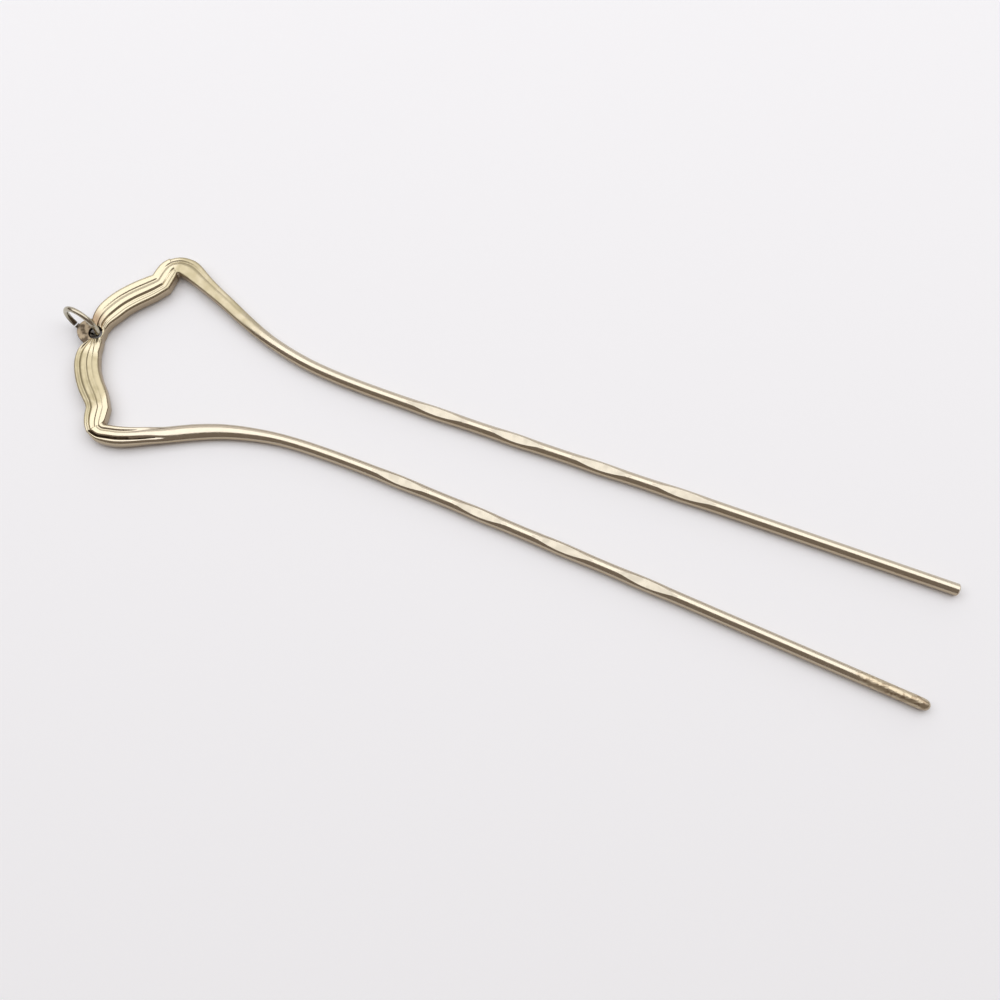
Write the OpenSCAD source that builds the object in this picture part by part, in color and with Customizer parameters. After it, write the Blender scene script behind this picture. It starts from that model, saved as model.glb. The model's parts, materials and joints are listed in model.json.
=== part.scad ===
// Two-pronged hairpin with a fluted head, lying flat.
// Millimetres, Z up. The prongs run along +X and the pin rests on Z = 0.
// Tables are written from the centre of the eye, x towards the tips.
// The whole model is then moved so that the middle of its box is the origin.

/* [Wire] */
// Diameter of the round prong wire
wire_d = 1.2; // [1:0.05:1.3]
// Where the plain round ends of the prongs begin, from the eye
plain_x = 64.5; // [64:0.5:70]
// Where the left prong is cut off square, from the eye
left_tip_x = 87.6; // [84:0.5:92]
// Where the right prong ends in a worn, rounded point, from the eye
right_tip_x = 88.0; // [84:0.5:92]
// Chamfer around the square cut end
tip_chamfer = 0.12; // [0.05:0.01:0.2]
// Length of the worn taper at the rounded end
worn_length = 1.6; // [1:0.1:2.5]

/* [Head] */
// Height of the rib crowns above the surface
head_h = 1.45; // [1.35:0.05:1.6]
// Depth of the two grooves between the ribs
groove_depth = 0.16; // [0.08:0.02:0.24]
// Diameter of the eye that the ring hangs in
eye_d = 1.34; // [1.3:0.02:1.4]
// Length of the oval plate behind the eye
plate_l = 3.94; // [3.8:0.02:4.0]
// Width of the oval plate, from arm to arm
plate_w = 3.0; // [2.8:0.1:3.2]
// Level of the plate's underside
plate_z = 0.74; // [0.7:0.02:0.78]
// Thickness of the plate
plate_t = 0.36; // [0.3:0.02:0.4]

/* [Pinched flats] */
// Length of the longest flat
flat_length = 7.0; // [5:0.2:7]
// How far each side of the wire is pressed in at the middle of a flat
pinch = 0.10; // [0.04:0.01:0.16]
// How far the wire spreads sideways there, as a share of its width
spread = 0.14; // [0:0.01:0.2]

/* [Ring] */
// Outer diameter of the jump ring
ring_d = 4.2; // [4:0.1:4.2]
// Diameter of the ring's wire
ring_wire_d = 0.55; // [0.45:0.05:0.55]
// Width of the cut where the ring was closed
ring_cut = 0.12; // [0.05:0.01:0.3]

/* [Hidden] */
$fn = 64;
wire_r = wire_d / 2;
// The swept wire is this much thinner than the plain ends that it runs into
sweep_step = 0.01;
// How far a swept prong runs on inside its plain end
sweep_lap = 0.8;

// The ribs across the strip, from the outer edge to the inner one
// start and end as shares of the width, crown as a share of the height
RIB_START = 0; RIB_END = 1; RIB_CROWN = 2;
RIBS = [
    [0.00, 0.29, 0.97],
    [0.29, 0.65, 1.00],
    [0.65, 1.00, 0.98]
];
// Places across one rib, and how much of the groove is filled there
RIB_POINTS = [[0, 0], [0.2, 0.78], [0.5, 1], [0.8, 0.78]];

// One row for each section of an arm, from its end beside the eye to the notch
// Columns: x, y, width, underside, rib height, flute, roundness
X = 0; Y = 1; WIDTH = 2; LOW = 3; HIGH = 4; FLUTE = 5; ROUND = 6;
ARM = [
    [0.56, 0.40, 0.70, 0, 0.85, 0.5, 0],
    [0.44, 0.80, 1.05, 0, 0.91, 0.8, 0],
    [0.32, 1.22, 1.50, 0, 0.97, 1.0, 0],
    [0.24, 1.66, 1.96, 0, 1.00, 1.0, 0],
    [0.27, 2.20, 2.34, 0, 1.00, 1.0, 0],
    [0.52, 2.98, 2.44, 0, 1.00, 1.0, 0],
    [1.03, 3.98, 2.46, 0, 1.00, 1.0, 0],
    [2.01, 5.28, 2.48, 0, 1.00, 1.0, 0],
    [2.88, 6.22, 2.44, 0, 1.00, 1.0, 0]
];
// Outline of the neck between the ends of the arms, its level and its thickness
NECK = [[0.30, -0.60], [0.86, -0.60], [0.88, 0], [0.86, 0.60], [0.30, 0.60]];
neck_z = 0.05;
neck_t = 1.21;
// The short straight piece between the notch and the shoulder, left and right, same columns
LEFT = 1; RIGHT = 2;
LINK = [[], [
    [3.82, 7.26, 2.24, 0, 1.00, 1, 0],
    [3.95, 8.17, 2.12, 0, 1.00, 1, 0],
    [4.10, 9.02, 1.90, 0, 0.97, 1, 0]
], [
    [3.84, 7.26, 2.32, 0, 1.00, 1, 0],
    [4.00, 8.16, 2.25, 0, 1.00, 1, 0],
    [4.32, 8.98, 1.80, 0, 0.97, 1, 0]
]];
// One row for each place along a prong, from the shoulder to its plain end, left and right
// Columns: x, y, width over that of the wire, rib height, flute, roundness
EXTRA = 2; P_HIGH = 3; P_FLUTE = 4; P_ROUND = 5;
PRONG = [[], [
    [ 4.72, 9.70, 0.66, 0.96, 0.6, 0.00],
    [ 5.90, 9.70, 0.905, 0.95, 0.5, 0.00],
    [ 6.90, 9.31, 0.70, 0.94, 0.4, 0.00],
    [ 7.90, 8.88, 0.47, 0.93, 0.3, 0.00],
    [ 9.40, 8.27, 0.28, 0.91, 0.2, 0.05],
    [10.90, 7.70, 0.21, 0.88, 0.1, 0.12],
    [12.90, 6.84, 0.18, 0.85, 0.0, 0.25],
    [15.90, 5.73, 0.05, 0.83, 0.0, 0.65],
    [18.90, 4.99, 0.00, 0.83, 0.0, 1.00],
    [21.90, 4.53, 0.00, 0.83, 0.0, 1.00],
    [25.90, 4.33, 0.00, 0.83, 0.0, 1.00],
    [30.90, 4.34, 0.00, 0.83, 0.0, 1.00],
    [39.40, 4.53, 0.00, 0.83, 0.0, 1.00],
    [47.70, 4.76, 0.00, 0.83, 0.0, 1.00],
    [56.00, 5.00, 0.00, 0.83, 0.0, 1.00],
    [64.50, 5.25, 0.00, 0.83, 0.0, 1.00],
    [70.00, 5.36, 0.00, 0.83, 0.0, 1.00]
], [
    [ 4.95, 9.34, 0.645, 0.96, 1.0, 0.00],
    [ 5.90, 9.27, 0.805, 0.95, 1.0, 0.00],
    [ 6.90, 9.00, 0.78, 0.94, 1.0, 0.00],
    [ 7.90, 8.62, 0.68, 0.93, 1.0, 0.05],
    [ 9.40, 7.90, 0.60, 0.91, 0.7, 0.30],
    [10.90, 7.22, 0.52, 0.90, 0.3, 0.65],
    [12.90, 6.16, 0.49, 0.88, 0.0, 0.90],
    [15.90, 4.87, 0.33, 0.86, 0.0, 1.00],
    [18.90, 4.06, 0.14, 0.83, 0.0, 1.00],
    [21.90, 3.54, 0.00, 0.83, 0.0, 1.00],
    [25.90, 3.33, 0.00, 0.83, 0.0, 1.00],
    [30.90, 3.32, 0.00, 0.83, 0.0, 1.00],
    [39.40, 3.54, 0.00, 0.83, 0.0, 1.00],
    [47.70, 3.88, 0.00, 0.83, 0.0, 1.00],
    [56.00, 4.24, 0.00, 0.83, 0.0, 1.00],
    [64.50, 4.62, 0.00, 0.83, 0.0, 1.00],
    [70.00, 4.91, 0.00, 0.83, 0.0, 1.00]
]];
// Each flat on a prong, left and right: its middle and its length as a share of the longest
FLATS = [[], [
    [35.0, 1.00], [43.2, 0.89], [51.9, 0.97], [60.3, 1.00]
], [
    [34.3, 0.93], [42.6, 0.90], [51.2, 0.99], [59.8, 0.97]
]];
// Slope of each plain end, sideways for each step along x
END_SLOPE = [0, 0.0195, 0.0533];

// How the ring stands in the eye: its middle, the turn of its plane and its lean
ring_at = [-1.31, 0.27];
ring_turn = -9.1;
ring_lean = 81.6;
// Where around the ring its cut is, from its far side
ring_cut_at = 229;
ring_r = (ring_d - ring_wire_d) / 2;

// The box of the whole model, so that its middle can be the origin
ring_reach = ring_r * norm([cos(ring_turn), sin(ring_turn) * cos(ring_lean)]) + ring_wire_d / 2;
low_x = ring_at[X] - ring_reach;
high_x = max(left_tip_x, right_tip_x);
function widest(side) = max([for (row = PRONG[side]) row[Y] + (wire_d + row[EXTRA]) / 2]);
to_origin = [-(low_x + high_x) / 2, (widest(RIGHT) - widest(LEFT)) / 2, 0];

// Slope of one column at row i, from the rows on both sides of it
function slope(rows, i, col) =
    let (a = max(i - 1, 0), b = min(i + 1, len(rows) - 1))
    (rows[b][col] - rows[a][col]) / (rows[b][X] - rows[a][X]);

// Value of one column at x, on a smooth curve through the rows
function value_at(rows, x, col) =
    let (i = max([for (k = [0 : len(rows) - 2]) if (rows[k][X] <= x) k]),
         span = rows[i + 1][X] - rows[i][X],
         t = (x - rows[i][X]) / span)
    (2 * pow(t, 3) - 3 * pow(t, 2) + 1) * rows[i][col]
    + (pow(t, 3) - 2 * pow(t, 2) + t) * span * slope(rows, i, col)
    + (3 * pow(t, 2) - 2 * pow(t, 3)) * rows[i + 1][col]
    + (pow(t, 3) - pow(t, 2)) * span * slope(rows, i + 1, col);

// A curve through whole rows, with n steps between each pair and no last row
function smooth_rows(rows, n) = [
    for (i = [0 : len(rows) - 2], k = [0 : n - 1])
        let (t = k / n,
             a = rows[max(i - 1, 0)],
             b = rows[i],
             c = rows[i + 1],
             d = rows[min(i + 2, len(rows) - 1)])
        b + (c - a) * t / 2
        + (2 * a - 5 * b + 4 * c - d) * pow(t, 2) / 2
        + (3 * b - a - 3 * c + d) * pow(t, 3) / 2
];

// Places along a prong where a section is taken
function prong_places(side) = concat(
    [PRONG[side][0][X]],
    [for (x = [5.3 : 0.4 : 8]) x],
    [for (x = [9 : 1 : 24]) x],
    [27, 30],
    [for (flat = FLATS[side], s = [-4 : 4]) flat[0] + s / 8 * flat[1] * flat_length],
    [plain_x, plain_x + sweep_lap]
);

// How deep a flat is pressed at x, as a share of its full depth
function pressed(side, x) = max([
    for (flat = FLATS[side])
        let (s = abs(x - flat[0]) / (flat[1] * flat_length))
        s < 0.5 ? pow(cos(180 * s), 2) : 0
]);

// One prong section as a row with the arm's columns
function prong_row(side, x) = [
    x,
    value_at(PRONG[side], x, Y),
    value_at(PRONG[side], x, EXTRA) + wire_d - 2 * sweep_step,
    0,
    value_at(PRONG[side], x, P_HIGH),
    max(value_at(PRONG[side], x, P_FLUTE), 0),
    min(max(value_at(PRONG[side], x, P_ROUND), 0), 1)
];

// All sections of one half of the pin, eye to tip
function half_rows(side) = concat(
    smooth_rows(concat(ARM, [LINK[side][0]]), 3),
    LINK[side],
    [for (x = prong_places(side)) prong_row(side, x)]
);

// Across direction at section i, lengthened at a mitre so that both sides keep their width
function unit(v) = v / norm(v);
function across(rows, i) =
    let (here = [rows[i][X], rows[i][Y]],
         before = rows[max(i - 1, 0)],
         after = rows[min(i + 1, len(rows) - 1)],
         way_in = i > 0 ? unit(here - [before[X], before[Y]]) : unit([after[X], after[Y]] - here),
         way_out = i < len(rows) - 1 ? unit([after[X], after[Y]] - here) : way_in,
         way = unit(way_in + way_out))
    [way[1], -way[0]] / (way * way_out);

// Outline of the fluted strip, top from the outer edge to the inner one, then the underside
// Each point is [share of the width, height]
function rib_outline(high, low, depth) =
    let (side = high - depth * 1.1 - low)
    concat(
        [for (rib = RIBS, p = RIB_POINTS)
            let (edge = rib[RIB_START] == 0 && p[0] == 0)
            [rib[RIB_START] + p[0] * (rib[RIB_END] - rib[RIB_START]) - 0.5,
             high * rib[RIB_CROWN] - depth * (edge ? 1.1 : 1) * (1 - p[1])]],
        [[0.5, low + side], [0.5, low + side * 0.55], [0.46, low + side * 0.22]],
        [[0.34, low], [0, low], [-0.34, low]],
        [[-0.46, low + side * 0.22], [-0.5, low + side * 0.55]]
    );

// The same points on the round wire
function round_outline() = concat(
    [for (j = [0 : 12]) let (a = 180 - 15 * j) [cos(a) / 2, (1 + sin(a)) / 2]],
    [for (j = [1 : 7]) let (a = -22.5 * j) [cos(a) / 2, (1 + sin(a)) / 2]]
);

// Points of section i of one half
function section(side, rows, i) =
    let (row = rows[i],
         aside = across(rows, i),
         high = min(row[HIGH], 1) * head_h,
         low = max(row[LOW], 0),
         deep = groove_depth * row[FLUTE],
         ribs = rib_outline(high, low, deep),
         ring = round_outline(),
         press = pressed(side, row[X]),
         wide = row[WIDTH] * (1 + spread * press))
    [for (j = [0 : len(ring) - 1])
        let (full = ring[j][1] * (wire_d - 2 * sweep_step) + sweep_step,
             flat = min(max(full, pinch * press), wire_d - pinch * press),
             share = ribs[j][0] * (1 - row[ROUND]) + ring[j][0] * row[ROUND],
             z = ribs[j][1] * (1 - row[ROUND]) + flat * row[ROUND])
        [row[X] + aside[0] * share * wide, row[Y] + aside[1] * share * wide, z]];

// One swept half of the pin: arm, notch, shoulder and prong up to its plain end
module half_sweep(side) {
    rows = half_rows(side);
    n = len(round_outline());
    last = len(rows) - 1;
    points = [for (i = [0 : last]) each section(side, rows, i)];
    skin = [
        for (i = [0 : last - 1], j = [0 : n - 1])
            let (a = i * n + j, b = i * n + (j + 1) % n)
            each [[a, a + n, b], [b, a + n, b + n]]
    ];
    first_cap = [for (j = [0 : n - 1]) j];
    last_cap = [for (j = [n - 1 : -1 : 0]) last * n + j];
    polyhedron(points = points, faces = concat(skin, [first_cap, last_cap]), convexity = 12);
}

// Stands a prong's plain end on its own axis, from plain_x to its tip
module along_end(side) {
    translate([plain_x, value_at(PRONG[side], plain_x, Y), wire_r])
        rotate([0, 90, atan(END_SLOPE[side])])
            children();
}

// The square cut end of the left prong
module left_end() {
    length = (left_tip_x - plain_x) / cos(atan(END_SLOPE[LEFT]));
    rotate_extrude()
        polygon([
            [0, 0],
            [wire_r, 0],
            [wire_r, length - tip_chamfer],
            [wire_r - tip_chamfer, length],
            [0, length]
        ]);
}

// The worn, rounded end of the right prong
module right_end() {
    length = (right_tip_x - plain_x) / cos(atan(END_SLOPE[RIGHT]));
    rotate_extrude()
        polygon([
            [0, 0],
            [wire_r, 0],
            [wire_r, length - worn_length],
            [wire_r * 0.93, length - 0.5],
            [wire_r * 0.80, length - 0.22],
            [wire_r * 0.52, length - 0.06],
            [wire_r * 0.22, length],
            [0, length]
        ]);
}

// The neck beside the eye, with its ends inside both arms
module neck() {
    translate([0, 0, neck_z]) linear_extrude(neck_t) polygon(NECK);
}

// The thin oval plate between the arms, which holds the far side of the eye
module eye_plate() {
    translate([0, 0, plate_z])
        linear_extrude(plate_t)
            intersection() {
                scale([1, plate_w / plate_l]) circle(d = plate_l);
                translate([-plate_l, -plate_l])
                    square([plate_l + eye_d / 2, plate_l * 2]);
            }
}

module pin() {
    color("#d8cfa4")
        translate(to_origin)
            difference() {
                union() {
                    eye_plate();
                    neck();
                    half_sweep(LEFT);
                    mirror([0, 1, 0]) half_sweep(RIGHT);
                    along_end(LEFT) left_end();
                    mirror([0, 1, 0]) along_end(RIGHT) right_end();
                }
                cylinder(d = eye_d, h = 2 * head_h);
            }
}

module jump_ring() {
    cut_angle = ring_cut / ring_r * 180 / PI;
    color("#a9a69c")
        translate(to_origin + [ring_at[0], ring_at[1], ring_r * sin(ring_lean) + ring_wire_d / 2])
            rotate([0, 0, ring_turn])
                rotate([ring_lean, 0, 0])
                    rotate([0, 0, ring_cut_at + cut_angle / 2])
                        rotate_extrude(angle = 360 - cut_angle)
                            translate([ring_r, 0]) circle(d = ring_wire_d);
}

pin();
jump_ring();
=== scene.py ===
import json
import math
from collections import namedtuple

import bmesh
import bpy
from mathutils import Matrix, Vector


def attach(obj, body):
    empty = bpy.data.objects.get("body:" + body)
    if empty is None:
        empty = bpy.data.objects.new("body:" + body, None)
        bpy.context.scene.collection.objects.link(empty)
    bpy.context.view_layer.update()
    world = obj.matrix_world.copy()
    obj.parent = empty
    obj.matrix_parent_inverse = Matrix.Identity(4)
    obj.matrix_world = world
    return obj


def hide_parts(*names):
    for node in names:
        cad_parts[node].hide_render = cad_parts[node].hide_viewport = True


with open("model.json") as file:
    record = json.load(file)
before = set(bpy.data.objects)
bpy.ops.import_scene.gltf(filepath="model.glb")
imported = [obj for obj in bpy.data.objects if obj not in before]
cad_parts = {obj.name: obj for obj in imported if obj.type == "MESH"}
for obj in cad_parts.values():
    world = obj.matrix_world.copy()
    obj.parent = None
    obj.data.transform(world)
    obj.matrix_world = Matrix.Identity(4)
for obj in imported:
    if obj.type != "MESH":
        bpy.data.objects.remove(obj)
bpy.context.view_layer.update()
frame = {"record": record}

# Sizes and places of the hairpin are in millimetres, from the middle of its eye: x towards the tips
# and y towards the left prong, the one with the square cut end. Pieces are modelled at that scale
# and made metres when they are done.
MM = 0.001

# Wire
WIRE_D = 1.2
WIRE_R = WIRE_D / 2
LEFT_TIP_X = 87.58
RIGHT_TIP_X = 87.98
TIP_CHAMFER = 0.12

# Head
HEAD_H = 1.45
EYE_D = 1.34
EYE_WEAR = 0.05
PLATE_L = 3.92
PLATE_W = 2.96
PLATE_Z = 0.74
PLATE_T = 0.36
PLATE_EDGE = 0.07
PLATE_INTO_NECK = 0.03
EYE_SIDES = 64

# Pinched flats: the longest one's length, how deep its middle is pressed and how much wider, as a
# share, the wire gets there
FLAT_LENGTH = 7.0
PINCH = 0.11
SPREAD = 0.12
# The die that pinches them: its length over the flat's, its width, its steps along the bulge and
# how far its ends are held off the wire
DIE_OVERHANG = 1.1
DIE_WIDTH = 2.4
DIE_STEPS = 24
DIE_CLEAR = 0.02

# Ring
RING_D = 4.2
RING_WIRE_D = 0.55
RING_R = (RING_D - RING_WIRE_D) / 2
RING_CUT = 0.12
RING_SIDES = 16
RING_STEPS = 56
RING_EDGE = 0.03
RING_AT = (-1.31, 0.27)
RING_TURN = math.radians(-9.1)
RING_LEAN = math.radians(81.6)
RING_CUT_AT = math.radians(229)

# The ring's mount is at the ring's middle, which gives the eye's place in the frame
ring_mount = next(m for m in frame["record"]["mounts"] if m["name"] == "ring_loop")
EYE_X = ring_mount["pos_m"][0] / MM - RING_AT[0]
EYE_Y = ring_mount["pos_m"][1] / MM - RING_AT[1]

# One row for each section of an arm, from beside the eye to the notch. Fan is how far its ribs are
# spread over its width
Arm = namedtuple("Arm", "x y width high flute fan", defaults=[1.0])
ARM = {
    "left": [
        Arm(0.56, 0.44, 0.66, 0.86, 0.3),
        Arm(0.17, 0.60, 1.44, 0.90, 0.6),
        Arm(0.07, 0.78, 1.78, 0.93, 0.9),
        Arm(0.05, 1.12, 1.96, 0.97, 1.0),
        Arm(0.06, 1.50, 2.16, 1.00, 1.0),
        Arm(0.15, 2.00, 2.42, 1.00, 1.0),
        Arm(0.31, 2.49, 2.58, 1.00, 1.0),
        Arm(0.53, 2.97, 2.64, 1.00, 1.0),
        Arm(0.76, 3.45, 2.65, 1.00, 1.0),
        Arm(1.05, 3.97, 2.65, 1.00, 1.0),
        Arm(1.52, 4.62, 2.66, 1.00, 1.0),
        Arm(2.03, 5.26, 2.66, 1.00, 1.0),
        Arm(2.47, 5.74, 2.65, 1.00, 1.0),
        Arm(2.90, 6.20, 2.62, 1.00, 1.0),
        Arm(3.33, 6.69, 2.52, 1.00, 1.0),
    ],
    "right": [
        Arm(0.60, 0.08, 0.54, 0.82, 0.2),
        Arm(0.60, 0.32, 0.60, 0.84, 0.3, 0.30),
        Arm(0.50, 0.58, 1.06, 0.89, 0.6, 0.44),
        Arm(0.48, 0.84, 1.28, 0.93, 0.9, 0.60),
        Arm(0.43, 1.22, 1.60, 0.97, 1.0, 0.78),
        Arm(0.35, 1.70, 2.00, 1.00, 1.0, 0.93),
        Arm(0.32, 2.20, 2.36, 1.00, 1.0),
        Arm(0.52, 2.98, 2.48, 1.00, 1.0),
        Arm(0.74, 3.46, 2.50, 1.00, 1.0),
        Arm(1.03, 3.98, 2.50, 1.00, 1.0),
        Arm(1.50, 4.64, 2.52, 1.00, 1.0),
        Arm(2.05, 5.26, 2.52, 1.00, 1.0),
        Arm(2.56, 5.72, 2.50, 1.00, 1.0),
        Arm(2.98, 6.12, 2.44, 1.00, 1.0),
        Arm(3.38, 6.55, 2.32, 1.00, 1.0),
    ],
}
# Up to here from the eye, the sections of the arms lie along x, whatever way the arm goes
STRAIGHT_UP_TO = 1.3
# The narrow neck beside the eye, made with the left arm, with its end inside the right one
NECK = [
    Arm(0.60, -0.50, 0.50, 0.80, 0.2),
    Arm(0.60, -0.20, 0.58, 0.82, 0.2),
    Arm(0.61, 0.05, 0.58, 0.83, 0.2),
    Arm(0.60, 0.28, 0.58, 0.84, 0.2),
]
# The short piece from the notch to the seam on the shoulder
LINK = {
    "left": [
        Arm(3.78, 7.27, 2.34, 1.00, 1.0),
        Arm(3.85, 8.17, 2.32, 1.00, 1.0),
        Arm(3.95, 8.90, 2.22, 0.98, 1.0),
        Arm(4.19, 9.30, 1.98, 0.97, 1.0),
    ],
    "right": [
        Arm(3.76, 7.14, 2.30, 1.00, 1.0),
        Arm(3.95, 8.06, 2.28, 1.00, 1.0),
        Arm(4.17, 8.76, 2.02, 0.98, 1.0),
        Arm(4.40, 9.04, 1.88, 0.97, 1.0),
    ],
}

# One row for each place along a prong: its middle, its width over that of the wire, its height as
# a share of the head, how much of its grooves is left and how round the section is
Prong = namedtuple("Prong", "x y extra high flute round")
PRONG = {
    "left": [
        Prong(4.25, 9.33, 0.70, 0.97, 1.0, 0.00),
        Prong(4.72, 9.70, 0.66, 0.96, 1.0, 0.00),
        Prong(5.90, 9.70, 0.90, 0.95, 0.9, 0.00),
        Prong(6.90, 9.31, 0.70, 0.94, 0.7, 0.00),
        Prong(7.90, 8.88, 0.47, 0.93, 0.4, 0.00),
        Prong(9.40, 8.27, 0.28, 0.91, 0.2, 0.05),
        Prong(10.90, 7.70, 0.21, 0.88, 0.1, 0.12),
        Prong(12.90, 6.84, 0.18, 0.85, 0.0, 0.25),
        Prong(15.90, 5.73, 0.05, 0.83, 0.0, 0.65),
        Prong(18.90, 4.99, 0.00, 0.83, 0.0, 1.00),
        Prong(21.90, 4.53, 0.00, 0.83, 0.0, 1.00),
        Prong(25.90, 4.33, 0.00, 0.83, 0.0, 1.00),
        Prong(30.90, 4.34, 0.00, 0.83, 0.0, 1.00),
        Prong(39.40, 4.53, 0.00, 0.83, 0.0, 1.00),
        Prong(47.70, 4.76, 0.00, 0.83, 0.0, 1.00),
        Prong(56.00, 5.00, 0.00, 0.83, 0.0, 1.00),
        Prong(64.50, 5.25, 0.00, 0.83, 0.0, 1.00),
        Prong(76.00, 5.474, 0.00, 0.83, 0.0, 1.00),
        Prong(89.00, 5.728, 0.00, 0.83, 0.0, 1.00),
    ],
    "right": [
        Prong(4.45, 9.07, 0.62, 0.97, 1.0, 0.00),
        Prong(4.95, 9.34, 0.645, 0.96, 1.0, 0.00),
        Prong(5.90, 9.235, 0.78, 0.95, 1.0, 0.00),
        Prong(6.90, 9.00, 0.78, 0.94, 1.0, 0.00),
        Prong(7.90, 8.62, 0.68, 0.93, 1.0, 0.05),
        Prong(9.40, 7.90, 0.60, 0.91, 0.7, 0.30),
        Prong(10.90, 7.22, 0.52, 0.90, 0.3, 0.65),
        Prong(12.90, 6.16, 0.49, 0.88, 0.0, 0.90),
        Prong(15.90, 4.87, 0.33, 0.86, 0.0, 1.00),
        Prong(18.90, 4.06, 0.14, 0.83, 0.0, 1.00),
        Prong(21.90, 3.54, 0.00, 0.83, 0.0, 1.00),
        Prong(25.90, 3.33, 0.00, 0.83, 0.0, 1.00),
        Prong(30.90, 3.32, 0.00, 0.83, 0.0, 1.00),
        Prong(39.40, 3.54, 0.00, 0.83, 0.0, 1.00),
        Prong(47.70, 3.88, 0.00, 0.83, 0.0, 1.00),
        Prong(56.00, 4.24, 0.00, 0.83, 0.0, 1.00),
        Prong(64.50, 4.62, 0.00, 0.83, 0.0, 1.00),
        Prong(76.00, 5.234, 0.00, 0.83, 0.0, 1.00),
        Prong(89.00, 5.928, 0.00, 0.83, 0.0, 1.00),
    ],
}
# Each flat on a prong: its middle and its length as a share of the longest
FLATS = {
    "left": [(35.0, 1.00), (43.2, 0.89), (51.9, 0.97), (60.3, 1.00)],
    "right": [(34.3, 0.93), (42.6, 0.90), (51.2, 0.99), (59.8, 0.97)],
}
# How uneven the worn, pitted end of the right prong is: where it starts, its size at each step from
# there, and the steps. Then its rounded tip: how far back from the end, and the size there
WORN_FROM = 80.2
WORN_STEP = 0.5
WORN_SIZES = [1.0, 0.985, 1.0, 0.975, 0.99, 0.965, 0.985, 0.96, 0.98, 0.955, 0.975, 0.95, 0.97]
WORN_TIP = [(1.3, 0.97), (0.85, 0.95), (0.5, 0.89), (0.24, 0.76), (0.07, 0.50), (0.0, 0.20)]

# Columns over the top of a section, outer edge to inner edge: share of the width, drop below the
# rib's crown, and what a groove adds to that drop. The arms have three ribs; the left prong starts
# with a flat top and one faint groove, the right one with three reeds
LEFT_ARM_TOP = [
    (0.000, 0.28, 0), (0.020, 0.14, 0), (0.055, 0.05, 0), (0.110, 0.005, 0), (0.200, 0, 0),
    (0.262, 0, 0.015), (0.305, 0, 0.08), (0.350, 0, 0.12), (0.405, 0, 0.045), (0.480, -0.01, 0),
    (0.585, 0, 0), (0.622, 0, 0.06), (0.668, 0, 0.16), (0.695, 0, 0.02), (0.735, 0, 0),
    (0.790, 0, 0.075), (0.830, 0, 0.06), (0.880, 0, 0), (0.930, 0.03, 0), (0.965, 0.10, 0),
    (1.000, 0.24, 0),
]
RIGHT_ARM_TOP = [
    (0.000, 0.26, 0), (0.020, 0.13, 0), (0.050, 0.05, 0), (0.080, 0.01, 0), (0.115, 0.01, 0.01),
    (0.150, 0, 0.07), (0.195, 0, 0.16), (0.245, 0, 0.09), (0.300, 0, 0.02), (0.385, -0.01, 0),
    (0.435, 0, 0.04), (0.480, 0, 0.12), (0.525, 0, 0.05), (0.585, 0, 0), (0.635, 0, 0.04),
    (0.685, 0, 0.11), (0.740, 0, 0.04), (0.830, 0, 0), (0.915, 0.035, 0), (0.960, 0.10, 0),
    (1.000, 0.24, 0),
]
LEFT_TOP = [
    (0.000, 0.30, 0), (0.020, 0.18, 0), (0.050, 0.12, 0), (0.100, 0.09, 0), (0.160, 0.075, 0),
    (0.205, 0.07, 0.01), (0.250, 0.065, 0.06), (0.300, 0.06, 0.11), (0.350, 0.04, 0.07),
    (0.410, 0.02, 0.02), (0.480, 0, 0), (0.540, 0, 0), (0.600, 0, 0), (0.660, 0, 0),
    (0.720, 0, 0), (0.780, 0, 0), (0.840, 0.005, 0), (0.890, 0.02, 0), (0.930, 0.045, 0),
    (0.965, 0.10, 0), (1.000, 0.22, 0),
]
RIGHT_TOP = [
    (0.000, 0.42, 0), (0.030, 0.27, 0), (0.070, 0.14, 0), (0.120, 0.05, 0), (0.170, 0.01, 0),
    (0.220, 0, 0), (0.265, 0.01, 0), (0.295, 0.02, 0.22), (0.345, 0.02, 0.14), (0.395, 0.01, 0.05),
    (0.440, 0, 0), (0.500, -0.02, 0), (0.560, -0.02, 0), (0.625, 0, 0), (0.665, 0.01, 0.03),
    (0.700, 0.02, 0.085), (0.755, 0.02, 0.05), (0.800, 0.01, 0), (0.875, 0, -0.01),
    (0.945, 0.04, 0), (1.000, 0.20, 0),
]
TOPS = {"left_arm": LEFT_ARM_TOP, "right_arm": RIGHT_ARM_TOP, "left": LEFT_TOP, "right": RIGHT_TOP}
# The columns that are kept sharp: a groove of the left arm and the deep one of the right prong
SHARP_COLUMNS = {"left_arm": 12, "right": 7}
# The floor of the right prong's deep groove is darkened, painted shade with some grime: its columns,
# and how far from the eye
SHADED_GROOVE_REACH = {7: 10.6, 8: 10.6, 9: 8.3}
# Columns down the inner side, under the strip and up the outer side: share of the width and share
# of the side's height
UNDER = [
    (1.00, 0.80), (1.00, 0.52), (0.99, 0.26), (0.93, 0.05), (0.74, 0.00), (0.50, 0.00),
    (0.26, 0.00), (0.07, 0.05), (0.01, 0.26), (0.00, 0.52), (0.00, 0.80),
]
COLUMNS = len(LEFT_TOP) + len(UNDER)
COLUMN_ANGLE = 2 * math.pi / COLUMNS
# A subdivided ring of this many columns comes out smaller by this share
RING_SHRINK = 1 - (1 - math.cos(COLUMN_ANGLE)) / 3


# Bench: what every piece is made with

def clear_selection():
    bpy.ops.object.select_all(action="DESELECT")


def start_piece(name):
    """Names the primitive just added and opens it for editing, all of it selected."""
    piece = bpy.context.object
    piece.name = name
    piece.data.name = name
    bpy.ops.object.transform_apply(location=True, rotation=True, scale=True)
    bpy.ops.object.mode_set(mode="EDIT")
    bpy.ops.mesh.select_mode(type="VERT")
    bpy.ops.mesh.select_all(action="SELECT")
    return piece


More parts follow.
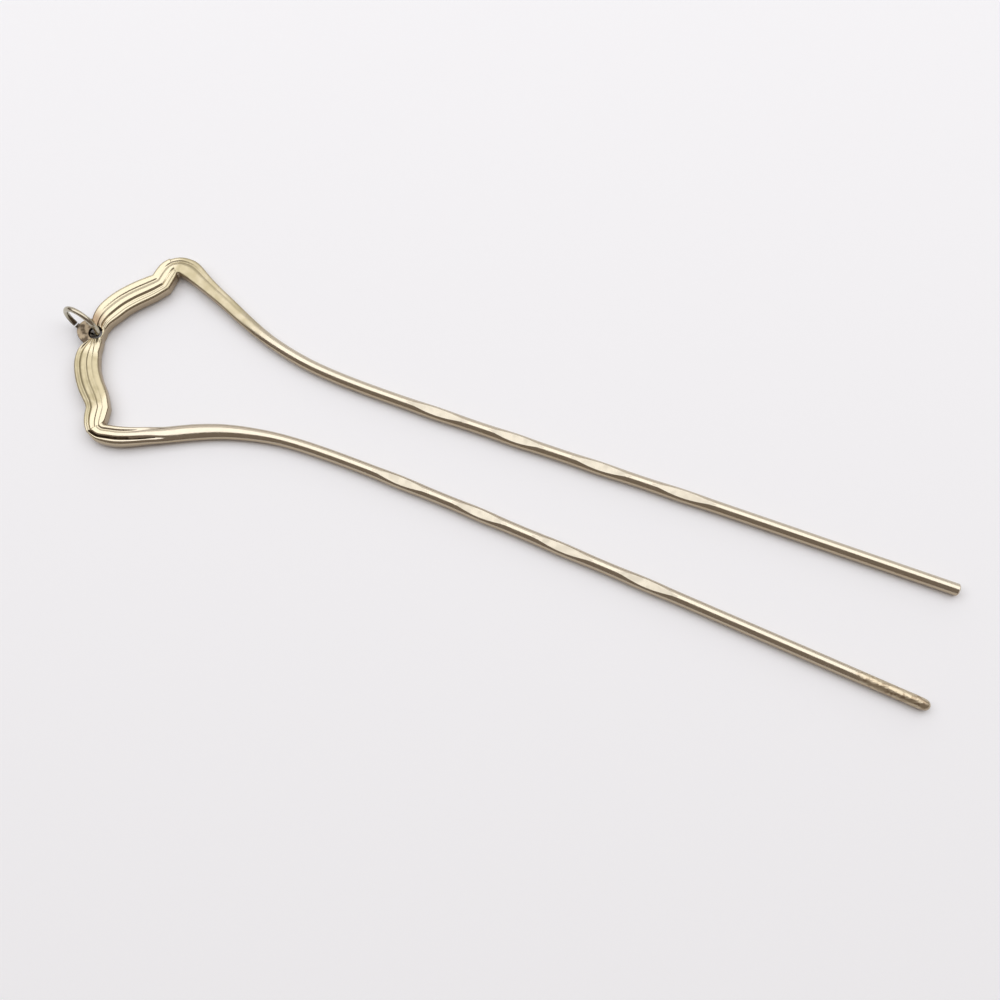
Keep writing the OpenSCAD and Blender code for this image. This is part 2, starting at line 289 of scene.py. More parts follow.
def select_points(piece, wanted):
    """Selects the points of the open piece that pass the test, and what lies between them."""
    mesh = bmesh.from_edit_mesh(piece.data)
    for point in mesh.verts:
        point.select_set(False)
    mesh.select_flush(False)
    for point in mesh.verts:
        if wanted(point):
            point.select_set(True)
    mesh.select_flush(True)
    bmesh.update_edit_mesh(piece.data)


def close_piece(piece):
    """Turns all faces outwards and closes the piece."""
    bpy.ops.mesh.select_all(action="SELECT")
    bpy.ops.mesh.normals_make_consistent(inside=False)
    bpy.ops.object.mode_set(mode="OBJECT")


def make_active(piece):
    clear_selection()
    piece.select_set(True)
    bpy.context.view_layer.objects.active = piece


def apply_modifier(piece, kind, **settings):
    make_active(piece)
    modifier = piece.modifiers.new(kind.title(), kind)
    for name, value in settings.items():
        setattr(modifier, name, value)
    bpy.ops.object.modifier_apply(modifier=modifier.name)


def subdivide_smooth(piece, levels):
    apply_modifier(piece, "SUBSURF", levels=levels, render_levels=levels)


def cut_or_join(piece, tool, operation):
    """Joins the tool to the piece or takes it away, and removes the tool."""
    apply_modifier(
        piece, "BOOLEAN", operation=operation, object=tool, solver="EXACT", material_mode="TRANSFER"
    )
    bpy.data.objects.remove(tool, do_unlink=True)


# Sections of one half of the pin

# One section of a half: its place, its size and form, and how sharp the bend at it is kept. A top's
# share at the knot is moved, and the shares on both sides of it are spread evenly
Station = namedtuple("Station", "x y width high top flute round crease knot moved", defaults=[1, 1])
FAN_KNOT = 0.9
# The right prong's deep groove starts near the outer edge at the seam, and is in its place after this
# length
GROOVE_KNOT = 0.29
GROOVE_START = 0.10
GROOVE_RUN_IN = 1.6
# How sharp the bends and grooves are kept, and how far from the eye the grooves are
NOTCH_CREASE = {"left": 0.6, "right": 0.85}
SEAM_CREASE = 0.9
GROOVE_CREASE = 0.8
SHARP_UP_TO = 10
# Sections nearer to each other than this don't say which way the strip goes
SAME_PLACE = 0.1
# A point this near to its place isn't moved
SETTLED = 0.001


def value_at(side, x, field):
    """A field of the prong's table at x, on a smooth curve through the rows."""
    rows = PRONG[side]
    i = max(k for k in range(len(rows) - 1) if rows[k].x <= x)

    def slope(k):
        before, after = rows[max(k - 1, 0)], rows[min(k + 1, len(rows) - 1)]
        return (getattr(after, field) - getattr(before, field)) / (after.x - before.x)

    span = rows[i + 1].x - rows[i].x
    t = (x - rows[i].x) / span
    return (
        (2 * t**3 - 3 * t**2 + 1) * getattr(rows[i], field)
        + (t**3 - 2 * t**2 + t) * span * slope(i)
        + (3 * t**2 - 2 * t**3) * getattr(rows[i + 1], field)
        + (t**3 - t**2) * span * slope(i + 1)
    )


def pressed(side, x):
    """How deep the flats are pressed at x, as a share of their full depth."""
    shares = [abs(x - middle) / (share * FLAT_LENGTH) for middle, share in FLATS[side]]
    return max([math.cos(math.pi * s) ** 2 for s in shares if s < 0.5], default=0)


def prong_places(side):
    """Where a prong's sections are: close together at its base and bend, and seven to a flat."""
    base = [PRONG[side][0].x, PRONG[side][1].x, 5.3, 5.9, 6.4, 6.9, 7.9, 8.7, 9.4, 10.2, 10.9, 11.9]
    bend = [12.9, 14.4, 15.9, 17.4, 18.9, 20.4, 21.9, 23.9, 25.9, 28.4]
    flats = [
        middle + s * share * FLAT_LENGTH
        for middle, share in FLATS[side] for s in (-0.5, -0.32, -0.16, 0, 0.16, 0.32, 0.5)
    ]
    return base + bend + flats


def prong_station(side, x, size=1.0, crease=0.0):
    width = WIRE_D + max(value_at(side, x, "extra"), 0)
    knot = moved = 1
    if side == "right":
        before_place = 1 - min((x - PRONG[side][0].x) / GROOVE_RUN_IN, 1)
        knot = GROOVE_KNOT
        moved = GROOVE_KNOT - (GROOVE_KNOT - GROOVE_START) * before_place ** 2
    return Station(
        x,
        value_at(side, x, "y"),
        width * (1 + SPREAD * pressed(side, x)) * size,
        value_at(side, x, "high"),
        side,
        max(value_at(side, x, "flute"), 0),
        min(max(value_at(side, x, "round"), 0), 1),
        crease,
        knot,
        moved,
    )


def end_stations(side):
    """The plain end: cut square with a chamfer on the left prong, worn round on the right one."""
    if side == "left":
        return [
            prong_station(side, 70.0),
            prong_station(side, 79.0),
            prong_station(side, LEFT_TIP_X - TIP_CHAMFER, 1.0, 1.0),
            prong_station(side, LEFT_TIP_X, 1 - TIP_CHAMFER / WIRE_R, 1.0),
        ]
    plain = [prong_station(side, x) for x in (70.0, 76.0, 79.0)]
    worn = [
        prong_station(side, WORN_FROM + WORN_STEP * k, size) for k, size in enumerate(WORN_SIZES)
    ]
    return plain + worn + [prong_station(side, RIGHT_TIP_X - back, size) for back, size in WORN_TIP]


def half_stations(side):
    """All sections of a half, from the neck or the arm's first one to the prong's end."""
    rows = (NECK if side == "left" else []) + ARM[side] + LINK[side]
    top = side + "_arm"
    head = [
        Station(*row[:4], top, row.flute, 0.0, 0.0, FAN_KNOT, FAN_KNOT * row.fan) for row in rows
    ]
    notch, seam = len(rows) - len(LINK[side]), len(rows) - 1
    head[notch] = head[notch]._replace(crease=NOTCH_CREASE[side])
    head[seam] = head[seam]._replace(crease=SEAM_CREASE)
    prong = [prong_station(side, x) for x in prong_places(side)]
    prong[0] = prong[0]._replace(crease=SEAM_CREASE)
    return head + prong + end_stations(side)


def across(stations, i):
    """Direction across the strip, lengthened at a bend so that both sides keep their width."""
    here = Vector((stations[i].x, stations[i].y))
    if stations[i].y < STRAIGHT_UP_TO:
        return Vector((-1, 0))
    steps = [Vector((other.x, other.y)) - here for other in stations]
    before = [step for step in steps[:i] if step.length > SAME_PLACE]
    after = [step for step in steps[i + 1:] if step.length > SAME_PLACE]
    ways = [-step.normalized() for step in before[-1:]] + [step.normalized() for step in after[:1]]
    way = sum(ways, Vector((0, 0))).normalized()
    return Vector((-way.y, way.x)) / way.dot(ways[-1])


def warped(share, knot, moved):
    """A share of the width after the knot is moved, with the rest spread evenly beside it."""
    if share <= knot:
        return share * moved / knot
    return moved + (share - knot) * (1 - moved) / (1 - knot)


def column_places(station, aside):
    """Places of a section's columns: the fluted strip, eased into the round wire."""
    high = station.high * HEAD_H
    top = TOPS[station.top]
    strip = [
        (warped(share, station.knot, station.moved), high - drop - groove * station.flute)
        for share, drop, groove in top
    ]
    side = high - max(top[0][1], top[-1][1])
    strip += [(share, side * rise) for share, rise in UNDER]
    places = []
    size = min(station.width / (WIRE_D * RING_SHRINK), 1 / RING_SHRINK)
    for column, (share, z) in enumerate(strip):
        angle = math.pi / 2 + COLUMN_ANGLE * ((len(top) - 1) / 2 - column)
        round_z = WIRE_R + math.sin(angle) * WIRE_R * size
        round_share = math.cos(angle) / 2 / RING_SHRINK
        reach = (share - 0.5) * (1 - station.round) + round_share * station.round
        height = z * (1 - station.round) + round_z * station.round
        flat_way = -aside * reach * station.width
        places.append(Vector((station.x + flat_way.x, station.y + flat_way.y, height)))
    return places


# Making one half of the pin

def settle_columns(piece, places):
    """Moves each point of the selected ring that isn't in its place yet."""
    mesh = bmesh.from_edit_mesh(piece.data)
    column = mesh.verts.layers.int["column"]
    ring = [point for point in mesh.verts if point.select]
    for point in ring:
        step = places[point[column]] - point.co
        if step.length > SETTLED:
            for other in ring:
                other.select_set(other is point)
            mesh.select_flush_mode()
            bpy.ops.transform.translate(value=step)
    for point in ring:
        point.select_set(True)
    mesh.select_flush(True)


def turn_and_size(station, last, aside, last_aside):
    """Turns the ring from the last station's direction and brings it to the new width and height."""
    middle = (station.x, station.y, 0)
    turn = math.atan2(aside.y, aside.x) - math.atan2(last_aside.y, last_aside.x)
    # Without a window the operator turns clockwise for a positive value
    bpy.ops.transform.rotate(value=-turn, orient_axis="Z", center_override=middle)
    wider = station.width * aside.length / (last.width * last_aside.length)
    taller = station.high / last.high
    direction = aside.normalized()
    axes = ((direction.x, direction.y, 0), (-direction.y, direction.x, 0), (0, 0, 1))
    bpy.ops.transform.resize(
        value=(wider, 1, taller), orient_type="GLOBAL", orient_matrix=axes,
        orient_matrix_type="GLOBAL", center_override=middle,
    )


def make_half(side):
    """An arm, its notch and shoulder and the prong that grows from it, as one extruded strip."""
    stations = half_stations(side)
    clear_selection()
    first = stations[0]
    bpy.ops.mesh.primitive_circle_add(
        vertices=COLUMNS, radius=first.width, fill_type="NGON",
        location=(first.x, first.y, HEAD_H / 2), rotation=(math.radians(90), 0, 0),
    )
    piece = start_piece(side + "_half")
    mesh = bmesh.from_edit_mesh(piece.data)
    column = mesh.verts.layers.int.new("column")
    mesh.verts.ensure_lookup_table()
    for point in mesh.verts:
        point[column] = point.index
    bmesh.update_edit_mesh(piece.data)

    aside = across(stations, 0)
    settle_columns(piece, column_places(first, aside))
    bpy.ops.transform.edge_crease(value=1.0)
    creased = 1.0
    for i in range(1, len(stations)):
        station, last = stations[i], stations[i - 1]
        step = (station.x - last.x, station.y - last.y, 0)
        bpy.ops.mesh.extrude_region_move(TRANSFORM_OT_translate={"value": step})
        last_aside, aside = aside, across(stations, i)
        turn_and_size(station, last, aside, last_aside)
        settle_columns(piece, column_places(station, aside))
        if station.crease != creased:
            bpy.ops.transform.edge_crease(value=-1.0)
            if station.crease:
                bpy.ops.transform.edge_crease(value=station.crease)
            creased = station.crease

    crease_grooves(piece, side)
    piece.data.materials.append(worn_gold)
    if side == "right":
        shade_deep_groove(piece)
        bpy.ops.mesh.select_all(action="SELECT")
        bpy.ops.transform.resize(value=(1, -1, 1), center_override=(0, 0, 0))
    close_piece(piece)
    subdivide_smooth(piece, 2)
    return piece


def crease_grooves(piece, side):
    """Keeps one groove of the left arm sharp, and the right prong's deep one until it fades."""
    mesh = bmesh.from_edit_mesh(piece.data)
    column = mesh.verts.layers.int["column"]
    bpy.ops.mesh.select_mode(type="EDGE")
    for edge in mesh.edges:
        a, b = edge.verts
        on_arm = max(a.co.x, b.co.x) < PRONG[side][0].x
        sharp = SHARP_COLUMNS.get(side + "_arm" if on_arm else side)
        in_groove = a[column] == b[column] == sharp
        edge.select_set(in_groove and max(a.co.x, b.co.x) < SHARP_UP_TO)
    bmesh.update_edit_mesh(piece.data)
    bpy.ops.transform.edge_crease(value=GROOVE_CREASE)
    bpy.ops.mesh.select_mode(type="VERT")


def shade_deep_groove(piece):
    """Darkens the floor of the right prong's deep groove: painted shade, with some grime."""
    piece.data.materials.append(groove_shade_and_grime_gold)
    column = bmesh.from_edit_mesh(piece.data).verts.layers.int["column"]
    first = PRONG["right"][0]
    # The slanting first section reaches back before its middle on the outer side
    select_points(piece, lambda point: (
        (point.co.x > first.x - 0.01 or point.co.y > first.y + 0.2)
        and point.co.x < SHADED_GROOVE_REACH.get(point[column], 0)
    ))
    bpy.ops.mesh.select_mode(type="FACE")
    piece.active_material_index = 1
    bpy.ops.object.material_slot_assign()
    bpy.ops.mesh.select_mode(type="VERT")


def make_eye_plate():
    """The thin oval plate between the arms, cut straight where it meets the neck."""
    clear_selection()
    bpy.ops.mesh.primitive_cylinder_add(
        vertices=EYE_SIDES, radius=0.5, depth=1, location=(0, 0, PLATE_Z + PLATE_T / 2),
        scale=(PLATE_L, PLATE_W, PLATE_T),
    )
    piece = start_piece("eye_plate")
    bpy.ops.mesh.bisect(
        plane_co=(EYE_D / 2 + PLATE_INTO_NECK, 0, 0), plane_no=(1, 0, 0), clear_outer=True,
        use_fill=True,
    )
    mesh = bmesh.from_edit_mesh(piece.data)
    bpy.ops.mesh.select_mode(type="EDGE")
    for edge in mesh.edges:
        level = abs(edge.verts[0].co.z - edge.verts[1].co.z) < PLATE_T / 2
        edge.select_set(level)
    bmesh.update_edit_mesh(piece.data)
    bpy.ops.mesh.bevel(offset=PLATE_EDGE, segments=3, profile=0.5)
    # The hole is cut in triangles: in one face of many corners it would be filled again
    bpy.ops.mesh.select_all(action="SELECT")
    bpy.ops.mesh.quads_convert_to_tris(quad_method="BEAUTY", ngon_method="BEAUTY")
    close_piece(piece)
    piece.data.materials.append(darker_plate_gold)
    return piece


def make_eye_cutter():
    """The drill for the eye, a little wider from the plate's upper face on, where the rim is worn."""
    clear_selection()
    top = PLATE_Z + PLATE_T
    bpy.ops.mesh.primitive_cylinder_add(
        vertices=EYE_SIDES, radius=EYE_D / 2, depth=top, location=(0, 0, top / 2 - EYE_WEAR)
    )
    piece = start_piece("eye_cutter")
    select_points(piece, lambda point: point.co.z > top / 2)
    wider = 1 + 2 * EYE_WEAR / EYE_D
    bpy.ops.mesh.extrude_region_move(TRANSFORM_OT_translate={"value": (0, 0, EYE_WEAR)})
    bpy.ops.transform.resize(value=(wider, wider, 1), center_override=(0, 0, 0))
    bpy.ops.mesh.extrude_region_move(TRANSFORM_OT_translate={"value": (0, 0, HEAD_H)})
    close_piece(piece)
    # The eye's wall is near black: painted shade in the hole
    piece.data.materials.append(eye_wall_shade_gold)
    return piece


def make_flat_cutter():
    """A block whose lower face bulges down, as the die that pinched the wire, long along x."""
    length = FLAT_LENGTH * DIE_OVERHANG
    clear_selection()
    bpy.ops.mesh.primitive_cube_add(size=1, location=(0, 0, 0.5), scale=(length, DIE_WIDTH, 1))
    piece = start_piece("flat_cutter")
    mesh = bmesh.from_edit_mesh(piece.data)
    bpy.ops.mesh.select_mode(type="EDGE")
    for edge in mesh.edges:
        edge.select_set(abs(edge.verts[0].co.x - edge.verts[1].co.x) > 1)
    bmesh.update_edit_mesh(piece.data)
    bpy.ops.mesh.subdivide(number_cuts=DIE_STEPS - 1)
    bpy.ops.mesh.select_mode(type="VERT")
    for k in range(DIE_STEPS + 1):
        x = length * (k / DIE_STEPS - 0.5)
        share = abs(x) / FLAT_LENGTH
        depth = PINCH * math.cos(math.pi * share) ** 2 if share < 0.5 else -DIE_CLEAR
        select_points(piece, lambda point: point.co.z < 0.5 and abs(point.co.x - x) < 0.01)
        bpy.ops.transform.translate(value=(0, 0, -depth))
    close_piece(piece)
    return piece


def place_flat_cutters():
    """Both dies at every flat of both prongs, joined as one tool."""
    die = make_flat_cutter()
    die.data.materials.append(satin_flat_gold)
    dies = []
    for side, way in (("left", 1), ("right", -1)):
        for middle, share in FLATS[side]:
            place = value_at(side, middle, "y")
            slope = math.atan(value_at(side, middle + 1, "y") - place)
            for upper in (True, False):
                one = die.copy()
                one.data = die.data.copy()
                bpy.context.collection.objects.link(one)
                one.scale = (share, 1, 1)
                one.rotation_euler = (0 if upper else math.pi, 0, way * slope)
                one.location = (middle, way * place, WIRE_D if upper else 0)
                dies.append(one)
    bpy.data.objects.remove(die, do_unlink=True)
    clear_selection()
    for one in dies:
        one.select_set(True)
    bpy.context.view_layer.objects.active = dies[0]
    bpy.ops.object.join()
    bpy.ops.object.transform_apply(location=True, rotation=True, scale=True)
    return bpy.context.object


def place_in_frame(piece):
    """Brings a finished piece from its own millimetres into the frame, in metres."""
    make_active(piece)
    piece.location = (EYE_X * MM, EYE_Y * MM, 0)
    piece.scale = (MM, MM, MM)
    bpy.ops.object.transform_apply(location=True, rotation=True, scale=True)


def make_pin():
    piece = make_half("left")
    cut_or_join(piece, make_half("right"), "UNION")
    cut_or_join(piece, make_eye_plate(), "UNION")
    cut_or_join(piece, make_eye_cutter(), "DIFFERENCE")
    cut_or_join(piece, place_flat_cutters(), "DIFFERENCE")
    piece.name = "pin_of_pale_gold"
    place_in_frame(piece)
    bpy.ops.object.shade_smooth_by_angle(angle=math.radians(14))
    return piece


def make_ring():
    """The split ring: a disc of the wire's size spun round, with the two cut ends left apart."""
    clear_selection()
    bpy.ops.mesh.primitive_circle_add(
        vertices=RING_SIDES, radius=RING_WIRE_D / 2, fill_type="NGON",
        location=(RING_R, 0, 0), rotation=(math.radians(90), 0, 0),
    )
    piece = start_piece("split_ring")
    gap = RING_CUT / RING_R
    bpy.ops.mesh.spin(
        steps=RING_STEPS, angle=2 * math.pi - gap, center=(0, 0, 0), axis=(0, 0, 1)
    )
    close_piece(piece)
    piece.data.materials.append(dull_white_metal)
    piece.rotation_euler = (0, 0, RING_CUT_AT + gap / 2)
    bpy.ops.object.transform_apply(rotation=True)
    piece.rotation_euler = (RING_LEAN, 0, RING_TURN)
    piece.location = (*RING_AT, RING_R * math.sin(RING_LEAN) + RING_WIRE_D / 2)
    bpy.ops.object.transform_apply(location=True, rotation=True)
    apply_modifier(
        piece, "BEVEL", width=RING_EDGE, segments=2, limit_method="ANGLE",
        angle_limit=math.radians(60),
    )
    subdivide_smooth(piece, 1)
    piece.name = "split_ring_of_white_metal"
    place_in_frame(piece)
    bpy.ops.object.shade_smooth_by_angle(angle=math.radians(40))
    return piece


# Materials

# Areas of the pin where its gold looks different. An area is the product of its ramps, and a ramp
# goes along one axis from where it is nothing to where it is whole, in millimetres from the eye
Ramp = namedtuple("Ramp", "axis nothing whole")
AREAS = {
    "satin_arm": [Ramp("Y", -1.8, -2.6), Ramp("Y", -7.2, -6.4), Ramp("X", 4.2, 3.6)],
    "satin_link": [Ramp("Y", -6.4, -7.0), Ramp("X", 3.8, 3.1)],
    "satin_base": [Ramp("Y", 1.24, 2.24), Ramp("X", 4.2, 4.9), Ramp("X", 18.5, 12.0)],
    "pitted_end": [Ramp("X", 79.5, 82.5), Ramp("Y", -0.76, -1.76)],
    "head": [Ramp("X", 9.0, 4.0)],
}
# A corner of the left arm beside the plate, painted brown as shade where the arm rounds down, from the
# eye
CORNER_SHADE_AT = (-0.75, 1.0, 1.2)
# Marks on the worn gold: about how large they are in millimetres, and how finely they break up.
# The grain is drawn coarser than real polishing marks, which wouldn't show
MARKS = {"patches": (0.9, 3.0), "grain": (0.11, 2.0), "spots": (0.5, 2.0), "pits": (0.5, 3.0)}


def tint(code):
    """A colour written as sRGB hex, turned to the linear values that the shaders take."""
    parts = [int(code[i:i + 2], 16) / 255 for i in (1, 3, 5)]
    return [p / 12.92 if p <= 0.04045 else ((p + 0.055) / 1.055) ** 2.4 for p in parts] + [1.0]


def add(tree, kind, inputs=None, **settings):
    """Adds a node with its settings. An input is a value, or a node or one of its outputs to link.

    Inputs are named or numbered among those in use, and a node is linked by its first output in use.
    """
    node = tree.nodes.new(kind)
    for name, value in settings.items():
        setattr(node, name, value)
    used = [socket for socket in node.inputs if socket.enabled]
    for name, value in (inputs or {}).items():
        target = used[name] if isinstance(name, int) else next(s for s in used if s.name == name)
        if isinstance(value, bpy.types.Node):
            value = next(socket for socket in value.outputs if socket.enabled)
        if isinstance(value, bpy.types.NodeSocket):
            tree.links.new(value, target)
        else:
            target.default_value = value
    return node


def new_material(name):
    material = bpy.data.materials.new(name)
    material.use_nodes = True
    tree = material.node_tree
    tree.nodes.clear()
    return material, tree


def add_area(tree, place, ramps):
    """How much a place belongs to an area, from 0 to 1."""
    parts = add(tree, "ShaderNodeSeparateXYZ", {"Vector": place}).outputs
    share = 1.0
    for ramp in ramps:
        eye = EYE_X if ramp.axis == "X" else EYE_Y
        eased = add(tree, "ShaderNodeMapRange", {
            "Value": parts[ramp.axis],
            "From Min": (eye + ramp.nothing) * MM, "From Max": (eye + ramp.whole) * MM,
        }, interpolation_type="SMOOTHSTEP")
        share = add(tree, "ShaderNodeMath", {0: share, 1: eased}, operation="MULTIPLY")
    return share


def add_worn_color(tree, place, areas, marks):
    """The pale gold's colour: olive in satin places, sides brown as film and painted shade."""
    # Faces turned away from the top get a brown film that also stands in for painted shade
    facing = add(tree, "ShaderNodeNewGeometry").outputs["Normal"]
    upward = add(tree, "ShaderNodeSeparateXYZ", {"Vector": facing}).outputs["Z"]
    sides_film_and_shade = add(tree, "ShaderNodeMapRange", {
        "Value": upward, "From Min": 0.35, "From Max": 0.82, "To Min": 1.0, "To Max": 0.0,
    }, interpolation_type="SMOOTHSTEP")
    # Painted shade: brown around the left arm's corner by the plate
    corner = [(a + b) * MM for a, b in zip(CORNER_SHADE_AT, (EYE_X, EYE_Y, 0))]
    from_corner = add(tree, "ShaderNodeVectorMath", {0: place, 1: corner}, operation="DISTANCE")
    corner_shade = add(tree, "ShaderNodeMapRange", {
        "Value": from_corner, "From Min": 0.4 * MM, "From Max": 1.7 * MM, "To Min": 0.9, "To Max": 0.0,
    }, interpolation_type="SMOOTHSTEP")

    # An area's film is broken up by marks: which ones, what range of them, and the film there
    covers = {}
    for name, mark, (low, high), (thin, thick) in (
        ("satin_arm", "patches", (0.35, 0.68), (0.75, 1.0)),
        ("satin_base", "patches", (0.3, 0.7), (0.6, 0.9)),
        ("pitted_end", "spots", (0.5, 0.64), (0.0, 0.6)),
    ):
        blotches = add(tree, "ShaderNodeMapRange", {
            "Value": marks[mark], "From Min": low, "From Max": high, "To Min": thin, "To Max": thick,
        }, interpolation_type="SMOOTHSTEP")
        covers[name] = add(
            tree, "ShaderNodeMath", {0: areas[name], 1: blotches}, operation="MULTIPLY"
        )
    olive = add(
        tree, "ShaderNodeMath", {0: covers["satin_arm"], 1: covers["satin_base"]}, operation="MAXIMUM"
    )
    # Brown here is painted shade at the corner and pitted spots at the worn end
    brown = add(tree, "ShaderNodeMath", {0: corner_shade, 1: covers["pitted_end"]}, operation="MAXIMUM")
    yellowed = add(tree, "ShaderNodeMath", {0: areas["pitted_end"], 1: 0.4}, operation="MULTIPLY")

    color = tint("#CFC7B4")
    for cover, film in (
        (areas["head"], "#CEC6AB"), (yellowed, "#CBB991"), (olive, "#ADA484"),
        (sides_film_and_shade, "#B4A48B"), (brown, "#917B62"),
    ):
        color = add(tree, "ShaderNodeMix", {
            "Factor": cover, "A": color, "B": tint(film),
        }, data_type="RGBA")
    return color


def make_worn_gold():
    """Carat gold, rolled, filed and worn: bright where it is rubbed, its sides brown as film and
    painted shade.

    The lower arm and the left prong's base are satin and mottled under an olive film, and the worn
    end of the right prong is pitted.
    """
    material, tree = new_material("worn_pale_gold")
    place = add(tree, "ShaderNodeTexCoord").outputs["Object"]
    marks = {
        name: add(tree, "ShaderNodeTexNoise", {
            "Vector": place, "Scale": 1 / (size * MM), "Detail": detail,
        })
        for name, (size, detail) in MARKS.items()
    }
    areas = {name: add_area(tree, place, ramps) for name, ramps in AREAS.items()}
    areas["satin_arm"] = add(tree, "ShaderNodeMath", {
        0: areas["satin_arm"], 1: areas["satin_link"],
    }, operation="MAXIMUM")

    satin = areas["satin_arm"]
    for name in ("satin_base", "pitted_end"):
        satin = add(tree, "ShaderNodeMath", {0: satin, 1: areas[name]}, operation="MAXIMUM")
    gloss = add(tree, "ShaderNodeMapRange", {
        "Value": marks["patches"], "From Min": 0.35, "From Max": 0.65, "To Min": 0.13, "To Max": 0.22,
    }, interpolation_type="SMOOTHSTEP")
    rough = add(tree, "ShaderNodeMath", {0: satin, 1: 0.16, 2: gloss}, operation="MULTIPLY_ADD")
    fine = add(tree, "ShaderNodeBump", {
        "Height": marks["grain"], "Strength": 0.1, "Distance": 0.02 * MM,
    })
    pitted = add(tree, "ShaderNodeBump", {
        "Height": marks["pits"], "Strength": areas["pitted_end"], "Distance": 0.11 * MM, "Normal": fine,
    })
    shader = add(tree, "ShaderNodeBsdfPrincipled", {
        "Base Color": add_worn_color(tree, place, areas, marks), "Metallic": 1.0,
        "Roughness": rough, "Normal": pitted,
    })
    add(tree, "ShaderNodeOutputMaterial", {"Surface": shader})
    return material


def make_satin_flat_gold():
    """The same gold where a die pinched it flat: a satin, slightly mottled face."""
    material, tree = new_material("satin_pinched_gold")
    place = add(tree, "ShaderNodeTexCoord").outputs["Object"]
    grain = add(tree, "ShaderNodeTexNoise", {"Vector": place, "Scale": 1 / (0.14 * MM), "Detail": 3.0})
    patches = add(tree, "ShaderNodeTexNoise", {"Vector": place, "Scale": 1 / (0.8 * MM), "Detail": 2.0})
    bump = add(tree, "ShaderNodeBump", {"Height": grain, "Strength": 0.25, "Distance": 0.03 * MM})
    rough = add(tree, "ShaderNodeMapRange", {
        "Value": patches, "From Min": 0.35, "From Max": 0.65, "To Min": 0.22, "To Max": 0.42,
    }, interpolation_type="SMOOTHSTEP")
    shader = add(tree, "ShaderNodeBsdfPrincipled", {
        "Base Color": tint("#C2BCAB"), "Metallic": 1.0, "Roughness": rough, "Normal": bump,
    })
    add(tree, "ShaderNodeOutputMaterial", {"Surface": shader})
    return material


def make_dark_blotched_gold(name, light_code, dark_code, rough):
    """Darker, dull and blotched gold: on the plate by the eye, as painted shade on the eye's wall, and
    as painted shade with some grime in a groove.
    """
    material, tree = new_material(name)
    place = add(tree, "ShaderNodeTexCoord").outputs["Object"]
    grain = add(tree, "ShaderNodeTexNoise", {"Vector": place, "Scale": 1 / (0.2 * MM), "Detail": 3.0})
    patches = add(tree, "ShaderNodeTexNoise", {"Vector": place, "Scale": 1 / (0.6 * MM), "Detail": 2.0})
    bump = add(tree, "ShaderNodeBump", {"Height": grain, "Strength": 0.3, "Distance": 0.04 * MM})
    blotches = add(tree, "ShaderNodeMapRange", {
        "Value": patches, "From Min": 0.4, "From Max": 0.6,
    }, interpolation_type="SMOOTHSTEP")
    color = add(tree, "ShaderNodeMix", {
        "Factor": blotches, "A": tint(light_code), "B": tint(dark_code),
    }, data_type="RGBA")
    shader = add(tree, "ShaderNodeBsdfPrincipled", {
        "Base Color": color, "Metallic": 1.0, "Roughness": rough, "Normal": bump,
    })
    add(tree, "ShaderNodeOutputMaterial", {"Surface": shader})
    return material


def make_dull_white_metal():
    """Drawn white metal wire, dulled by handling: greyer than the pin, and brown low down as painted
    shade in the eye.
    """
    material, tree = new_material("drawn_white_metal")
    place = add(tree, "ShaderNodeTexCoord").outputs["Object"]
    grain = add(tree, "ShaderNodeTexNoise", {"Vector": place, "Scale": 3 / MM, "Detail": 3.0})
    bump = add(tree, "ShaderNodeBump", {"Height": grain, "Strength": 0.15, "Distance": 0.02 * MM})
    # Painted shade: the ring turns dark brown low down, where it passes under the plate and through the
    # eye
    height = add(tree, "ShaderNodeSeparateXYZ", {"Vector": place}).outputs["Z"]
    ring_low_shade = add(tree, "ShaderNodeMapRange", {
        "Value": height, "From Min": 0.9 * MM, "From Max": 2.3 * MM, "To Min": 0.85, "To Max": 0.0,
    }, interpolation_type="SMOOTHSTEP")
    color = add(tree, "ShaderNodeMix", {
        "Factor": ring_low_shade, "A": tint("#BAB4A1"), "B": tint("#55493D"),
    }, data_type="RGBA")
    shader = add(tree, "ShaderNodeBsdfPrincipled", {
        "Base Color": color, "Metallic": 1.0, "Roughness": 0.2, "Normal": bump,
    })
    add(tree, "ShaderNodeOutputMaterial", {"Surface": shader})
    return material


def make_white_card():
    """Smooth white card, nearly matt: the plain pale floor, which shows soft shadows."""
    material, tree = new_material("white_card")
    shader = add(tree, "ShaderNodeBsdfPrincipled", {
        "Base Color": tint("#F8FCFF"), "Roughness": 0.7, "Specular IOR Level": 0.2,
    })
    add(tree, "ShaderNodeOutputMaterial", {"Surface": shader})
    return material


# Camera, floor and light

CAMERA_AT = Vector((12.700, -30.717, 112.195)) * MM
LOOKS_AT = Vector((1.544, -1.670, 0)) * MM
SENSOR = 36.0
LENS = 43.2
FLOOR_SIZE = 1.6
# The floor is this little below the pin, so that they share no surface
FLOOR_Z = -0.00001


def set_camera():
    data = bpy.data.cameras.new("camera")
    data.sensor_width = SENSOR
    data.lens = LENS
    data.clip_start = 0.001
    camera = bpy.data.objects.new("camera", data)
    bpy.context.collection.objects.link(camera)
    camera.location = CAMERA_AT
    camera.rotation_euler = (LOOKS_AT - CAMERA_AT).to_track_quat("-Z", "Y").to_euler()
    bpy.context.scene.camera = camera


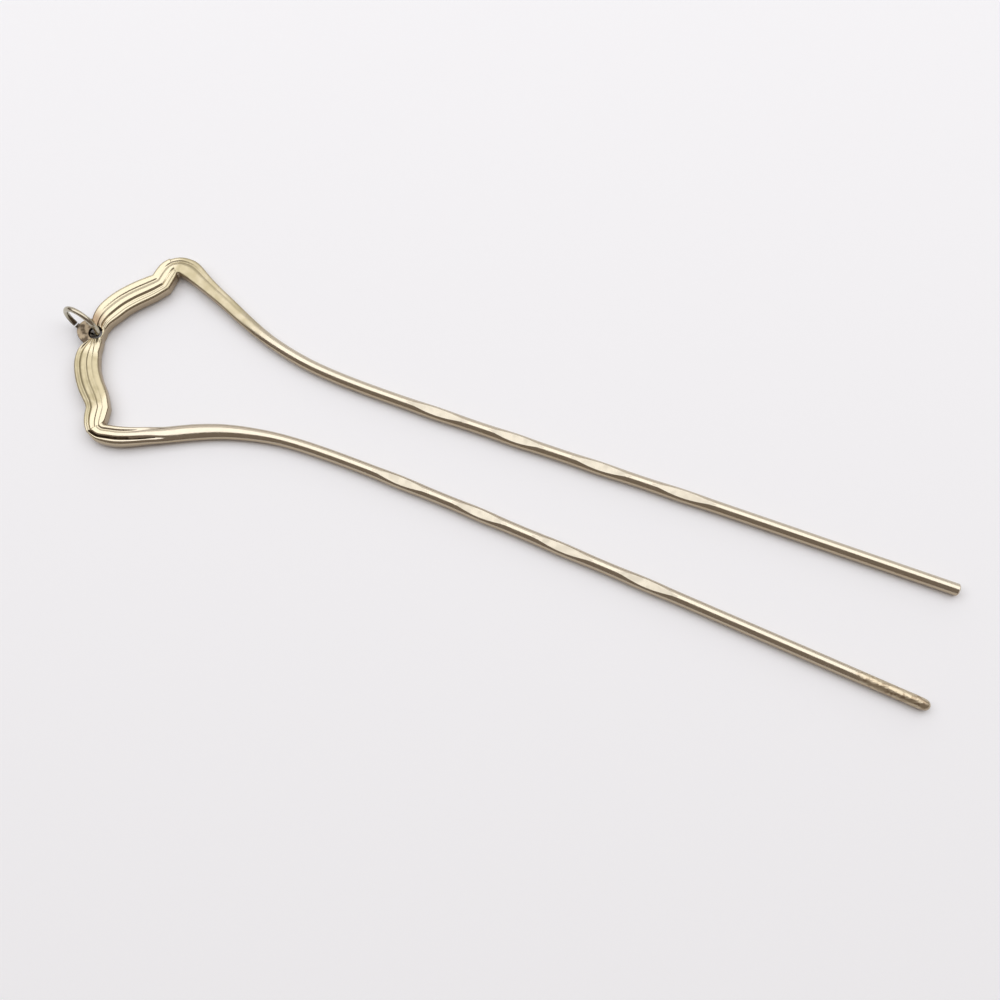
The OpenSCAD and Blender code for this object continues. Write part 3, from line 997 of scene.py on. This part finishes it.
def make_floor():
    clear_selection()
    bpy.ops.mesh.primitive_plane_add(size=FLOOR_SIZE, location=(0, 0, FLOOR_Z))
    floor = bpy.context.object
    floor.name = "floor"
    floor.data.materials.append(make_white_card())
    bpy.ops.object.transform_apply(location=True, rotation=True, scale=True)


# The direction on the floor that the camera sees as away, towards the picture's top
AWAY = Vector((-0.3585, 0.9335, 0))


def add_panel(name, away, height, size, radiance, aim=None):
    """A soft panel, in metres from the pin's middle, that faces its aim and glows evenly."""
    data = bpy.data.lights.new(name, "AREA")
    data.shape = "RECTANGLE"
    data.size, data.size_y = size
    data.energy = radiance * math.pi * size[0] * size[1]
    data.color = tint("#FDFCFF")[:3]
    panel = bpy.data.objects.new(name, data)
    bpy.context.collection.objects.link(panel)
    panel.location = AWAY * away + Vector((0, 0, height))
    facing = (aim or Vector((0, 0, 0))) - panel.location
    panel.rotation_euler = facing.to_track_quat("-Z", "Y").to_euler()


def set_lights():
    add_panel("overhead", away=0.285, height=0.6, size=(1.9, 0.74), radiance=1.60, aim=AWAY * 0.30)
    add_panel("behind", away=0.86, height=0.36, size=(1.9, 0.60), radiance=0.66)
    world = bpy.data.worlds.new("dim_room")
    world.use_nodes = True
    background = world.node_tree.nodes["Background"]
    background.inputs["Color"].default_value = tint("#FFE9DB")
    background.inputs["Strength"].default_value = 0.235
    bpy.context.scene.world = world
    # Plain sRGB keeps the card's white and the gold's hue as they are lit
    bpy.context.scene.view_settings.view_transform = "Standard"


set_camera()
make_floor()
set_lights()

worn_gold = make_worn_gold()
satin_flat_gold = make_satin_flat_gold()
# The plate: a darker, blotched gold
darker_plate_gold = make_dark_blotched_gold("darker_plate_gold", "#A3957E", "#5E5345", 0.4)
# The eye's wall: near black, painted shade in the hole
eye_wall_shade_gold = make_dark_blotched_gold("eye_wall_shade_gold", "#221C17", "#120E0B", 0.6)
# The groove's floor: dark, painted shade with some grime
groove_shade_and_grime_gold = make_dark_blotched_gold("groove_shade_and_grime_gold", "#5A4E3F", "#3A3127", 0.5)
dull_white_metal = make_dull_white_metal()

pin = make_pin()
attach(pin, "root")
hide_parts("pin")

ring = make_ring()
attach(ring, "root")
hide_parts("jump_ring")
